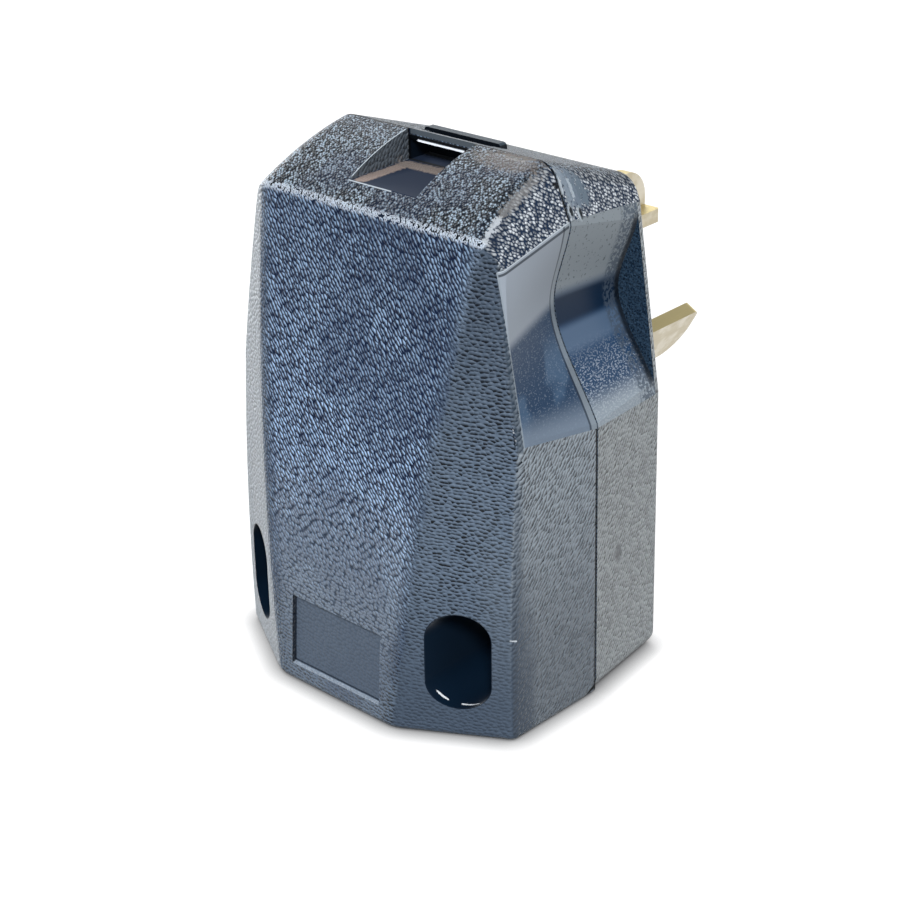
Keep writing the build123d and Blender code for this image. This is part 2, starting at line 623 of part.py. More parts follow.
def pressure_plate(place, slant):
    """Square plate under a terminal screw's head."""
    x, z = place
    half = PRESSURE_PLATE / 2
    plate = block(-half, half, TAB_TOP_Y - PRESSURE_PLATE_THICKNESS, TAB_TOP_Y, -half, half)
    placed = Pos(x, 0, z) * Rot(0, slant, 0) * plate
    return placed - rod(TERMINAL_SCREW_D + 2 * SCREW_GAP, x, z, TAB_TOP_Y - PRESSURE_PLATE_THICKNESS, TAB_TOP_Y)


def cover_nut():
    """Right-hand captive square nut."""
    half = NUT_WIDTH / 2
    nut = block(WELL_X - half, WELL_X + half, FIT_GAP, FIT_GAP + NUT_THICKNESS, WELL_Z - half, WELL_Z + half)
    return nut - rod(COVER_SCREW_D + 2 * THREAD_GAP, WELL_X, WELL_Z, 0, FIT_GAP + NUT_THICKNESS)


def clamp_bar(hole_d):
    """Rear clamp bar, bowed in its middle for the cord."""
    inner = clamp_line(CLAMP_FACE_Y, CLAMP_LOW)
    outer = clamp_line(CLAMP_BACK_Y, CLAMP_LOW)
    ends = [Edge.make_line(inner[0] @ 0, outer[0] @ 0), Edge.make_line(inner[-1] @ 1, outer[-1] @ 1)]
    bar = extrude(make_face(inner + outer + ends), amount=CLAMP_HEIGHT, dir=(0, 0, 1))
    for side in (-1, 1):
        bar = bar - rod(hole_d, side * CLAMP_SCREW_X, CLAMP_Z, CLAMP_FACE_Y, CLAMP_BACK_Y)
    return bar


def clamp_line(y, z):
    """Left to right edge of a clamp bar: two flats and the bow between them."""
    left = Vector(-CORD_RADIUS, y, z)
    right = Vector(CORD_RADIUS, y, z)
    bow = bowed(left, right, Vector(0, 1, 0), CLAMP_SADDLE)
    return [
        Edge.make_line((-CLAMP_HALF_LENGTH, y, z), left),
        bow,
        Edge.make_line(right, (CLAMP_HALF_LENGTH, y, z)),
    ]


def clamp_screw(side):
    """Screw that draws the front clamp bar towards the rear one."""
    length = CLAMP_SPACING + 2 * CLAMP_THICKNESS - FIT_GAP
    return slotted_screw(side * CLAMP_SCREW_X, CLAMP_Z, -CLAMP_BACK_Y, CLAMP_SCREW_D, length,
                         CLAMP_HEAD_D, CLAMP_HEAD_HEIGHT)


def cover_screw(side):
    """Screw that holds the cover to its captive nut."""
    return slotted_screw(side * WELL_X, WELL_Z, SEAT_Y, COVER_SCREW_D, COVER_SCREW_LENGTH,
                         COVER_HEAD_D, COVER_HEAD_HEIGHT)


def build_pieces():
    """Every piece of the plug by name."""
    places = terminal_places()
    slants = {"neutral": 0.0, "line_left": -BLADE_SLANT, "line_right": BLADE_SLANT}
    pieces = {
        "front_cover": front_cover(),
        "rear_housing": rear_housing(),
        "neutral_blade": neutral_blade(),
        "line_blade_right": line_blade(),
        "line_blade_left": mirror(line_blade(), about=Plane.YZ),
        "cord_clamp_rear": clamp_bar(CLAMP_SCREW_D + 2 * THREAD_GAP),
        "cord_clamp_front": mirror(clamp_bar(CLAMP_SCREW_D + 2 * SCREW_GAP), about=Plane.XZ),
    }
    for name, place in places.items():
        pieces[f"{name}_terminal_screw"] = terminal_screw(place)
        pieces[f"{name}_pressure_plate"] = pressure_plate(place, slants[name])
    for name, side in (("left", -1), ("right", 1)):
        pieces[f"cover_screw_{name}"] = cover_screw(side)
        pieces[f"cord_clamp_screw_{name}"] = clamp_screw(side)
    pieces["cover_nut_right"] = cover_nut()
    pieces["cover_nut_left"] = mirror(cover_nut(), about=Plane.YZ)
    return pieces


def main():
    """Write one STEP file for each piece, with the origin at the middle of the mating face."""
    datum = Pos(0, -REAR_DEPTH, -FACE_CENTRE_Z)
    os.makedirs("parts", exist_ok=True)
    for name, solid in build_pieces().items():
        export_step(datum * solid, f"parts/{name}.step")


if __name__ == "__main__":
    main()
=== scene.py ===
import math

import bpy
from mathutils import Matrix, Vector


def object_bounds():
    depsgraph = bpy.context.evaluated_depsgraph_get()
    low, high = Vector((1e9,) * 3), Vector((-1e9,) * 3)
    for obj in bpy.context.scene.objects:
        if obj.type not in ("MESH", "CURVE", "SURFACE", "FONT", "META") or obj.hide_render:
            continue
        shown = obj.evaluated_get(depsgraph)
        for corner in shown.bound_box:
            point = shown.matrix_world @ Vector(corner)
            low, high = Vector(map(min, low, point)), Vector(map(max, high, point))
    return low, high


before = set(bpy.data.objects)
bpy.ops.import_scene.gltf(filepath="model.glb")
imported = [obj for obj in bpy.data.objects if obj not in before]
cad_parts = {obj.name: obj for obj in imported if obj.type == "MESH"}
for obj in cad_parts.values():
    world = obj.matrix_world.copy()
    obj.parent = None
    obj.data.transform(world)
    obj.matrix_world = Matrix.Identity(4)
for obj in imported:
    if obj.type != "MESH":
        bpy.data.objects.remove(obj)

# Camera, fitted to the photograph's edges
AZIMUTH = math.radians(43.356)
ELEVATION = math.radians(25.724)
ROLL = math.radians(-1.608)
DISTANCE = 0.260822
TARGET = Vector((0.009298, -0.026, 0.00134))
LENS_MM = 79.285
SENSOR_MM = 36.0
CLIP_START = 0.01

# Lamps: name, place, size, power, tint
LAMPS = (
    ("key", (0.4, -0.45, 0.5), 0.15, 5.0, "f6f9ff"),
    ("side", (0.6, 0.1, 0.25), 0.4, 0.6, "ffffff"),
    ("back", (-0.35, 0.3, 0.5), 0.2, 1.5, "ffffff"),
    ("left", (-0.6, 0.1, 0.06), 0.3, 3.0, "ffffff"),
)

# Studio: white surround, dimmer overhead between two rises, and a pale floor with a soft contact shadow,
# partly painted into its glow
WHITE = "ffffff"
OVERHEAD_TONE = "6a7078"
OVERHEAD_RISE = (0.35, 0.85)
SURROUND_STRENGTH = 0.35
FLOOR_HALF_SIZE = 4.0
FLOOR_TONE = "747474"
FLOOR_ROUGHNESS = 0.9
FLOOR_GLOW = 0.9
CONTACT_REACH = 0.003
CONTACT_POWER = 1.6

# Drawing frame of the finishes, in millimetres: parting plane y = 0, foot z = 0, middle x = 0
MM_PER_M = 1000.0
PARTING_Y = 16.0
FOOT_Z = 34.4

# Moulded grain, face by face, with painted light and shade: painted tones for each face, and on each pebble a
# painted lit flank
# and a painted shaded flank. Per face: the plane it lies in, spacing in millimetres, the way to its lit flank
# in degrees, stretch across that way, how far the painted light lies on that flank, on the crown and on the
# ends, the levels from dark to light, how far pebbles differ
GRAIN_WITH_PAINTED_LIGHT = {
    "panel": {
        "plane": ("x", "z"), "spacing": 0.48, "lit": 42.0, "stretch": 1.7, "flank": 1.1, "crown": 0.4,
        "ends": -0.2, "levels": (-0.02, 0.58), "vary": 0.35, "dark": "011536", "light": "b4d3f5",
    },
    "facet": {
        "plane": ("x", "z"), "spacing": 0.50, "lit": 84.0, "stretch": 1.2, "flank": 1.0, "crown": 0.2,
        "ends": 1.2, "levels": (-0.45, 0.3), "vary": 0.6, "dark": "03070c", "light": "657485",
    },
    "side": {
        "plane": ("y", "z"), "spacing": 0.52, "lit": 143.0, "stretch": 1.4, "flank": 1.0, "crown": 0.3,
        "ends": 0.8, "levels": (-0.5, 0.4), "vary": 0.5, "dark": "181f26", "light": "969fa6",
    },
    "roof": {
        "plane": ("x", "y"), "spacing": 0.36, "lit": -47.0, "stretch": 0.9, "flank": 0.4, "crown": 1.0,
        "ends": 0.0, "levels": (0.08, 0.62), "vary": 0.6, "dark": "06111a", "light": "acc0d1",
    },
    "corner": {
        "plane": ("y", "z"), "spacing": 0.42, "lit": 60.0, "stretch": 1.2, "flank": 0.6, "crown": 0.9,
        "ends": 0.0, "levels": (-0.08, 0.8), "vary": 0.5, "dark": "15283f", "light": "f2f8fc",
    },
}
HOUSING_SIDE_GRAIN_WITH_PAINTED_LIGHT = {**GRAIN_WITH_PAINTED_LIGHT["side"], "spacing": 0.58, "stretch": 1.05, "dark": "04070a", "light": "a1a7a9"}
HOUSING_GRAIN_WITH_PAINTED_LIGHT = {**GRAIN_WITH_PAINTED_LIGHT, "side": HOUSING_SIDE_GRAIN_WITH_PAINTED_LIGHT}
PEBBLE_HEIGHT_M = 0.00012
PEBBLE_SMOOTHNESS = 0.2
PEBBLE_SCATTER = 0.8
PEBBLE_DOME = (0.1, 0.7)
GRAIN_WANDER_MM = 4.0
GRAIN_SHIFT_MM = 0.3

# Moulded plastic, and the sizes of its cloudy bloom, ragged edges and dust
PLASTIC_ROUGHNESS = 0.42
PLASTIC_SPECULAR = 0.12
SHEEN_WEIGHT = 0.3
SHEEN_ROUGHNESS = 0.3
SHEEN_TINT = "eef2f5"
CLOUD_MM = 14.0
RAGGED_MM = 0.45
DUST_MM = 0.2
STROKE_MM = 0.36
NOISE_MIDDLE = 0.5
NOISE_SPAN = (0.3, 0.7)
STREAK_CORE = 0.55
SMUDGE_CORE = 0.5

# Metals: noise per millimetre, roughness over the span of the noise, cloudy patches
CLOUDY_PATCH = (0.6, 1.0, 0.2)
BRASS_LINES_PER_MM = (6.0, 0.25, 6.0)
BRASS_CLOUDS_PER_MM = 0.35
BRASS_ROUGHNESS = (0.3, 0.45)
BRASS_LINE_STRENGTH = 0.15
BRASS_LINE_DEPTH_M = 0.00003
ZINC_CLOUDS_PER_MM = 0.9
ZINC_ROUGHNESS = (0.28, 0.45)

# Panel: half width at its foot, (half width, height) at its top
PANEL_FOOT_HALF_WIDTH = 10.8
PANEL_TOP = (19.3, 67.75)

# Finger scoops: heights of their lower and upper ends at the parting plane and at the far end
SCOOP_FOOT_Z = 40.3
SCOOP_HEAD_Z = 67.2
COVER_SCOOP = {"far_y": -14.3, "foot_z": 42.5, "head_z": 64.4, "inner_y": (-13.75, 1.0)}
HOUSING_SCOOP = {"far_y": 16.0, "foot_z": 39.5, "head_z": 65.6, "inner_y": (-1.0, 14.6)}
SCOOP_END_BORDER = 0.004
SCOOP_SIDE_BORDER = 0.1

# Obround screw wells: middle (half spacing, height), half straight length and end radius with its edge
WELL_MIDDLE = (18.95, 11.5)
WELL_STRAIGHT = 3.2
WELL_RADIUS = 3.85
WELL_EDGE = 0.02

# Ridge between panel and roof, worn and with a painted highlight
RIDGE = ((-19.6, -14.1, 67.75), (19.3, -14.1, 67.75))

# Latch notch: height of its floor, and the half width that it shares with the bar
NOTCH_FLOOR_Z = 70.1
NOTCH_HALF_WIDTH = 5.9

# Ranges that bound areas: lowest and highest value that is full, and the border over which it fades
TURNED_ASIDE = (0.3, 1.0, 0.1)
STEEP_SIDE = (0.8, 1.0, 0.1)
ON_PANEL = (-30, -3, 3)
PANEL_FOOT = (-5, 10, 30)
ABOVE_PLATE = (16, 24, 12)
PLATE_WIDTH = (0, 8.3, 0.1)
PLATE_HEIGHT = (2.9, 13.1, 0.1)
COVER_FRONT = (-30, -20, 0.1)
IN_SCOOP = (0.6, 1.5, 0.3)
SCOOP_RUN = (-13.6, -0.3, 0.2)
SCOOP_TOP = (0.66, 1.1, 0.08)
FLANGE_FACE = (14.5, 14.75, 0.05)
FLANGE_HEIGHT = (41, 67, 0.1)
FACING_FRONT = (-1.0, -0.6, 0.1)
RIM_WIDTH = (0, 7.0, 0.05)
RIM_DEPTH = (3.8, 5, 0.05)

# Where each kind of grain lies
FACET_SIDES = {"beyond": (0.8, 30.0, 3.5)}
FACET_FOOT = {"z": (-5.0, 8.0, 24.0)}
SIDE_FACE = {"aside": (0.85, 1.0, 0.3)}
ROOF_FACE = {"up": (0.34, 1.0, 0.08)}
CORNER_FACE = {"up": (0.3, 1.0, 0.06), "aside": (0.6, 1.0, 0.2)}

# Worn places, dirt, painted light and painted shade of both mouldings. Areas give a range to each value that
# bounds them, streaks run from point to point with a width and a raggedness, smudges fill an ellipsoid
# raggedly. Later ones lie over earlier ones.
SEAM_LINE = (
    ({"y": (-0.2, 0.2, 0.08), "scoop": (-1, 0.2, 0.3)}, {"colour": "04070b", "grain": 0.0}),
)
COVER_AREAS = (
    # Panel: bluish clouds, painted shade on its head, painted light on its foot, painted highlights on the
    # pebble crowns and painted shade in their hollows above the plate
    ({"cloud": (0.58, 1.0, 0.12), "aside": (0, 0.2, 0.15)}, {"colour": "0d2547", "share": 0.35}),
    ({"z": (72, 80, 40), "beyond": ON_PANEL, "up": (-0.2, 0.26, 0.05)}, {"colour": "071830", "share": 0.4}),
    ({"z": PANEL_FOOT, "beyond": ON_PANEL}, {"colour": "a9b6c5", "share": 0.18}),
    ({"z": ABOVE_PLATE, "beyond": ON_PANEL, "pebble": (0.7, 1.2, 0.5)}, {"colour": "b3bfcc", "share": 0.28}),
    (
        {"z": ABOVE_PLATE, "beyond": ON_PANEL, "pebble": (-0.2, 0.1, 0.15)},
        {"colour": "16202c", "share": 0.45},
    ),
    # Facets and sides: painted reflection on the left facet, painted shade along the front edges of the
    # sides, paler lower facets near the sides, darker head of the right facet, darker feet
    ({"right": (-0.7, -0.4, 0.15), "up": (-0.2, 0.25, 0.1)}, {"colour": "ccd1d4", "share": 0.5}),
    ({"aside": STEEP_SIDE, "y": (-20, -15.2, 1.8), "z": (-5, 36, 5)}, {"colour": "4a5663", "share": 0.6}),
    ({"aside": STEEP_SIDE, "y": (-20, -13.4, 2.2), "z": (-5, 4, 26)}, {"colour": "455160", "share": 0.75}),
    (
        {"aside": (0.4, 0.7, 0.1), "y": (-16.8, -10, 2.2), "z": (-5, 14, 26)},
        {"colour": "75808a", "share": 0.4},
    ),
    (
        {"aside": (0.4, 0.7, 0.2), "right": (0.3, 1, 0.1), "z": (62, 80, 28)},
        {"colour": "0b1828", "share": 0.45},
    ),
    ({"aside": (0.8, 1.0, 0.15), "z": (-5, 4, 34)}, {"colour": "3c444e", "share": 0.5}),
    (
        {"aside": (0.3, 0.75, 0.1), "right": (0, 1, 0.1), "z": (-5, 3, 24)},
        {"colour": "465363", "share": 0.8, "grain": 0.5},
    ),
    # Bare recessed plate: smooth field, shaded left border, lit and shaded lower border
    (
        {"across": PLATE_WIDTH, "z": PLATE_HEIGHT, "y": COVER_FRONT},
        {"colour": "586575", "share": 0.8, "grain": 0.3},
    ),
    ({"x": (-8.45, -8.15, 0.06), "z": PLATE_HEIGHT, "y": COVER_FRONT}, {"colour": "0a1320", "share": 0.9}),
    ({"across": PLATE_WIDTH, "z": (2.75, 2.95, 0.06), "y": COVER_FRONT}, {"colour": "a9b6c4", "share": 0.8}),
    ({"across": PLATE_WIDTH, "z": (3.1, 3.3, 0.06), "y": COVER_FRONT}, {"colour": "0f1a28", "share": 0.8}),
    # Latch notch: smooth floor and left wall in painted shade, with a painted highlight along the wall's
    # upper edge
    (
        {
            "across": (0, NOTCH_HALF_WIDTH, 0.02),
            "z": (NOTCH_FLOOR_Z - 0.05, NOTCH_FLOOR_Z + 0.05, 0.05),
            "up": (0.5, 1, 0.1),
        },
        {"colour": "021a34", "roughness": 0.7, "grain": 0.0},
    ),
    (
        {"x": (-6, -5.85, 0.03), "z": (70.15, 75, 0.02), "y": (-12, 0, 0.1)},
        {"colour": "121b23", "share": 0.55},
    ),
    (
        {"x": (-6.08, -5.94, 0.03), "up": (0.3, 1, 0.1), "y": (-10.6, -0.6, 0.3)},
        {"colour": "b9c4cc", "grain": 0.0},
    ),
    # Finger scoops: shaded front edge, smooth wall, dust, paler clouded lower part and paler lower end,
    # painted reflection on the upper end, marks along their edges
    (
        {"aside": (0.7, 1, 0.1), "z": (42, 67, 0.5), "y": (-16.5, -13.9, 0.1)},
        {"colour": "354351", "share": 0.7},
    ),
    ({"scoop": IN_SCOOP}, {"colour": "1c3855", "roughness": 0.3, "grain": 0.0}),
    (
        {"scoop": IN_SCOOP, "cloud": (0.48, 1.0, 0.06), "share": (-0.1, 0.35, 0.15)},
        {"colour": "4a6581", "share": 0.65},
    ),
    ({"scoop": IN_SCOOP, "dust": (0.66, 1, 0.1)}, {"colour": "b4c0ca", "share": 0.2}),
    ({"scoop": IN_SCOOP, "share": (-0.1, 0.03, 0.16)}, {"colour": "7c8a99", "share": 0.8}),
    # Painted reflection of the bright surround on the upper end
    ({"scoop": IN_SCOOP, "share": (0.62, 1.1, 0.08)}, {"colour": "9aa2ab", "roughness": 0.45}),
    ({"scoop": IN_SCOOP, "y": (-0.95, 0.1, 0.12)}, {"colour": "8f989d", "share": 0.6}),
    ({"scoop": IN_SCOOP, "y": (-1.35, -1.1, 0.1)}, {"colour": "131c26", "share": 0.7}),
    ({"scoop": IN_SCOOP, "y": (-13.85, -13.65, 0.06)}, {"colour": "939da5", "share": 0.7}),
    # Painted highlight along the top lip, then painted shade just under it
    (
        {"share": (0.999, 1.002, 0.003), "y": SCOOP_RUN, "aside": TURNED_ASIDE},
        {"colour": "c3ccd3", "grain": 0.0},
    ),
    (
        {"share": (0.976, 0.986, 0.004), "y": SCOOP_RUN, "aside": TURNED_ASIDE},
        {"colour": "1a222b", "share": 0.8},
    ),
    # Glossy screw wells in painted shade, and the worn ridge between panel and roof with a painted highlight
    ({"well": (-9, WELL_RADIUS + WELL_EDGE, 0.1)}, {"colour": "0c1c2c", "grain": 0.0, "roughness": 0.3}),
    ({"ridge": (-1, 0.3, 0.5), "pebble": (0.35, 0.8, 0.2)}, {"colour": "d6e0ec", "share": 0.9}),
    *SEAM_LINE,
)
NOTCH_DIRT = {"roughness": 0.8, "grain": 0.4}
COVER_STREAKS = (
    # Brownish dirt on the notch floor, and a painted highlight along its front edge
    ((-4.6, -10.2, NOTCH_FLOOR_Z), (-4.6, -2.0, NOTCH_FLOOR_Z), 1.3, 0.7, {"colour": "93837a", **NOTCH_DIRT}),
    ((-4.6, -2.0, NOTCH_FLOOR_Z), (2.0, -1.6, NOTCH_FLOOR_Z), 1.6, 0.7, {"colour": "857971", **NOTCH_DIRT}),
    (
        (-5.9, -11.35, NOTCH_FLOOR_Z), (1.5, -11.35, NOTCH_FLOOR_Z), 0.14, 0.3,
        {"colour": "bcc6ce", "grain": 0.0},
    ),
    # Scuffed crease between roof and corner, and dark burrs along the crest with a painted highlight beside
    # them
    ((19.3, -13.6, 67.9), (19.0, -10.6, 70.0), 0.55, 3.0, {"colour": "c9cfd4", "share": 0.75}),
    ((19.0, -9.8, 70.5), (18.6, -3.0, 73.3), 0.9, 3.5, {"colour": "918f8b", "share": 0.5}),
    ((10.5, -0.6, 74.3), (17.0, -0.4, 73.9), 0.4, 2.0, {"colour": "05080c", "grain": 0.0}),
    ((12.0, -1.3, 74.2), (18.4, -1.0, 73.3), 0.3, 3.0, {"colour": "a9adae", "share": 0.8}),
    ((16.6, -1.2, 73.9), (19.6, -0.6, 71.6), 0.42, 2.0, {"colour": "070b10", "grain": 0.0}),
    # Dark gap at the foot of the seam, gleams at the bottom of the right-hand well
    ((26.0, -2.4, 0.1), (25.9, -0.2, 1.4), 0.35, 0.6, {"colour": "020406", "grain": 0.0}),
    ((15.4, -20.7, 6.3), (16.9, -19.8, 4.9), 0.22, 0.3, {"colour": "eef2f4", "grain": 0.0}),
    ((18.6, -18.8, 4.4), (20.6, -17.7, 4.75), 0.22, 0.3, {"colour": "eef2f4", "grain": 0.0}),
    # Small scratches on the facet
    ((11.7, -21.0, 24.3), (12.4, -20.9, 23.9), 0.16, 1.0, {"colour": "a9b3bd", "share": 0.8}),
    ((11.3, -20.8, 26.6), (11.5, -20.7, 26.0), 0.14, 1.0, {"colour": "a9b3bd", "share": 0.8}),
    ((19.6, -20.9, 25.4), (20.0, -20.7, 25.2), 0.16, 1.0, {"colour": "b9c1c8", "share": 0.8}),
    ((24.9, -16.2, 15.5), (25.6, -15.5, 15.3), 0.16, 1.0, {"colour": "ccd2d6", "share": 0.9}),
)
COVER_SMUDGES = (
    # Brownish rub on the crest, white nick beside the seam
    ((13.0, -2.0, 74.0), (7.0, 2.6, 2.5), 1.6, {"colour": "7d756e", "share": 0.55}),
    ((25.4, -0.6, 27.0), (0.6, 0.35, 0.5), 1.0, {"colour": "e4e8ea", "grain": 0.0}),
)
HOUSING_AREAS = (
    # Latch bar: painted highlight on its front face, painted shade in the slot behind it, grey top
    (
        {"across": (0, 4.2, 0.05), "z": (72.9, 73.75, 0.03), "y": (-2, -0.02, 0.01)},
        {"colour": "f2f7ff", "grain": 0.0},
    ),
    (
        {"across": (0, NOTCH_HALF_WIDTH, 0.02), "z": (66, 72.8, 0.05), "y": (-0.2, 4.0, 0.05)},
        {"colour": "08111b", "grain": 0.0},
    ),
    (
        {"across": (0, NOTCH_HALF_WIDTH, 0.05), "z": (73.5, 75, 0.05), "y": (-0.1, 1.5, 0.05)},
        {"colour": "6b757d", "grain": 0.1},
    ),
    # Dusty sides, painted shade on the rear slope of the roof
    (
        {"aside": (0.85, 1.0, 0.1), "z": (-5, 38, 2), "cloud": (0.45, 1.0, 0.15)},
        {"colour": "a09f98", "share": 0.1},
    ),
    ({"up": (0.6, 1.0, 0.1), "back": (0.2, 1.0, 0.1)}, {"colour": "18222b", "share": 0.5}),
    # Finger scoops: smooth wall, dusty lower end, painted reflection in a paler band, a dark band and a pale
    # flecked upper end, painted light on the lower edge, a flecked band and painted shade in the far corner
    ({"scoop": IN_SCOOP}, {"colour": "234060", "roughness": 0.3, "grain": 0.0}),
    (
        {"scoop": IN_SCOOP, "dust": (0.62, 1, 0.12), "share": (-0.1, 0.2, 0.2)},
        {"colour": "cbd5dd", "share": 0.45},
    ),
    ({"scoop": IN_SCOOP, "share": (0.36, 0.42, 0.06)}, {"colour": "63778e", "share": 0.6}),
    ({"scoop": IN_SCOOP, "share": (0.48, 0.58, 0.05)}, {"colour": "0a2138"}),
    ({"scoop": IN_SCOOP, "share": SCOOP_TOP}, {"colour": "8b9398", "roughness": 0.45}),
    ({"scoop": IN_SCOOP, "fleck": (0.0, 0.34, 0.02), "share": SCOOP_TOP}, {"colour": "4a5056", "share": 0.7}),
    ({"scoop": IN_SCOOP, "share": (-0.1, 0.05, 0.12)}, {"colour": "a9b3b9", "share": 0.7}),
    ({"scoop": IN_SCOOP, "y": (11.4, 15, 0.9), "fleck": (0.5, 1, 0.05)}, {"colour": "465260", "share": 0.8}),
    (
        {"scoop": IN_SCOOP, "y": (14.0, 15, 0.9), "share": (0.1, 0.9, 0.08)},
        {"colour": "070d14", "share": 0.85},
    ),
    # Inner face of the rear flange in painted shade, with dust
    ({"y": FLANGE_FACE, "back": FACING_FRONT, "z": FLANGE_HEIGHT}, {"colour": "0d2032", "grain": 0.6}),
    (
        {"y": FLANGE_FACE, "back": FACING_FRONT, "z": FLANGE_HEIGHT, "dust": (0.52, 1.0, 0.12)},
        {"colour": "3a5064", "share": 0.7},
    ),
    # Raised rim behind the latch bar, and the mating face
    ({"across": RIM_WIDTH, "y": RIM_DEPTH, "z": (70, 74, 0.1)}, {"colour": "39444d", "grain": 0.2}),
    ({"across": RIM_WIDTH, "y": RIM_DEPTH, "up": (-0.5, 0.5, 0.2)}, {"colour": "0a1119", "grain": 0.2}),
    ({"y": (15.9, 16.3, 0.05)}, {"colour": "1d242b", "roughness": 0.4, "grain": 0.0}),
    *SEAM_LINE,
)
SCRAPED = {"grain": 0.2, "roughness": 0.35}
HOUSING_STREAKS = (
    # Scrape across the corner beside the seam, with bright scores
    ((18.8, 1.1, 73.6), (20.0, 1.5, 69.4), 1.1, 2.2, {"colour": "828e99", **SCRAPED}),
    ((19.0, 2.4, 73.2), (20.4, 2.9, 68.9), 1.2, 2.2, {"colour": "6d7a87", **SCRAPED}),
    ((19.3, 3.5, 72.6), (20.7, 4.4, 69.0), 1.3, 3.2, {"colour": "65737f", **SCRAPED}),
    ((19.1, 1.9, 72.8), (20.1, 2.2, 69.6), 0.3, 3.0, {"colour": "a4afb8", "grain": 0.0}),
    ((19.2, 0.3, 73.2), (19.9, 0.3, 70.6), 0.3, 1.2, {"colour": "b4bdc4", "grain": 0.0}),
)
HOUSING_SMUDGES = (
    # Dull stain on the side, two torn burrs with bright borders above the scoop
    ((25.4, 5.6, 19.4), (1.0, 1.2, 1.9), 0.8, {"colour": "5a5b5e", "share": 0.6, "grain": 0.5}),
    ((20.9, 0.8, 68.3), (0.9, 0.7, 1.3), 1.0, {"colour": "b3bdc4", "grain": 0.0}),
    ((20.9, 0.9, 68.2), (0.8, 0.45, 1.0), 1.0, {"colour": "171d23", "grain": 0.0}),
    ((21.2, 2.5, 67.7), (0.9, 0.7, 1.3), 1.0, {"colour": "b3bdc4", "grain": 0.0}),
    ((21.2, 2.7, 67.6), (0.8, 0.45, 1.0), 1.0, {"colour": "171d23", "grain": 0.0}),
)

cad_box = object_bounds()


def linear(hex_colour):
    """Linear RGBA of an sRGB hex colour."""
    channels = [int(hex_colour[i : i + 2], 16) / 255 for i in (0, 2, 4)]
    return [c / 12.92 if c <= 0.04045 else ((c + 0.055) / 1.055) ** 2.4 for c in channels] + [1.0]


def add(tree, kind, inputs=None, **settings):
    """Node with its settings, and with each input set to a value or linked to a socket."""
    node = tree.nodes.new(kind)
    for name, value in settings.items():
        setattr(node, name, value)
    for name, value in (inputs or {}).items():
        if isinstance(value, bpy.types.NodeSocket):
            tree.links.new(value, node.inputs[name])
        else:
            node.inputs[name].default_value = value
    return node


def new_material(name):
    """Material with an empty node tree, and its tree."""
    material = bpy.data.materials.new(name)
    material.use_nodes = True
    material.node_tree.nodes.clear()
    return material, material.node_tree


def place_camera():
    """Camera at the photograph's viewing angle."""
    data = bpy.data.cameras.new("photo_camera")
    data.lens = LENS_MM
    data.sensor_width = SENSOR_MM
    data.clip_start = CLIP_START
    camera = bpy.data.objects.new("photo_camera", data)
    bpy.context.scene.collection.objects.link(camera)
    level = math.cos(ELEVATION)
    back = Vector((math.sin(AZIMUTH) * level, -math.cos(AZIMUTH) * level, math.sin(ELEVATION)))
    right = Vector((math.cos(AZIMUTH), math.sin(AZIMUTH), 0))
    up = back.cross(right)
    tilted_right = right * math.cos(ROLL) + up * math.sin(ROLL)
    tilted_up = up * math.cos(ROLL) - right * math.sin(ROLL)
    turn = Matrix((tilted_right, tilted_up, back)).transposed().to_4x4()
    camera.matrix_world = Matrix.Translation(TARGET + back * DISTANCE) @ turn
    bpy.context.scene.camera = camera


def surface_values(tree):
    """Point on the part in the millimetre drawing frame, with its coordinates and its facing by name."""
    local = add(tree, "ShaderNodeTexCoord").outputs["Object"]
    mapping = {"Vector": local, "Location": (0, PARTING_Y, FOOT_Z), "Scale": (MM_PER_M, MM_PER_M, MM_PER_M)}
    point = add(tree, "ShaderNodeMapping", mapping).outputs[0]
    place = add(tree, "ShaderNodeSeparateXYZ", {0: point}).outputs
    normal = add(tree, "ShaderNodeNewGeometry").outputs["Normal"]
    facing = add(tree, "ShaderNodeSeparateXYZ", {0: normal}).outputs
    values = {"x": place[0], "y": place[1], "z": place[2]}
    values.update({"right": facing[0], "back": facing[1], "up": facing[2]})
    values["across"] = add(tree, "ShaderNodeMath", {0: place[0]}, operation="ABSOLUTE").outputs[0]
    values["aside"] = add(tree, "ShaderNodeMath", {0: facing[0]}, operation="ABSOLUTE").outputs[0]
    edge = {0: place[2], 1: 0.0, 2: PANEL_TOP[1], 3: PANEL_FOOT_HALF_WIDTH, 4: PANEL_TOP[0]}
    edge = add(tree, "ShaderNodeMapRange", edge, clamp=False).outputs[0]
    past = {0: values["across"], 1: edge}
    values["beyond"] = add(tree, "ShaderNodeMath", past, operation="SUBTRACT").outputs[0]
    return point, values


def area(tree, values, limits):
    """Mask that is full where every named value lies in its range and fades over a border outside it."""
    mask = None
    for name, (low, high, border) in limits.items():
        middle, half = (low + high) / 2, (high - low) / 2
        offset = add(tree, "ShaderNodeMath", {0: values[name], 1: middle}, operation="SUBTRACT").outputs[0]
        offset = add(tree, "ShaderNodeMath", {0: offset}, operation="ABSOLUTE").outputs[0]
        fade = {0: offset, 1: half, 2: half + border, 3: 1.0, 4: 0.0}
        inside = add(tree, "ShaderNodeMapRange", fade, interpolation_type="SMOOTHSTEP").outputs[0]
        if mask is not None:
            inside = add(tree, "ShaderNodeMath", {0: mask, 1: inside}, operation="MULTIPLY").outputs[0]
        mask = inside
    return mask


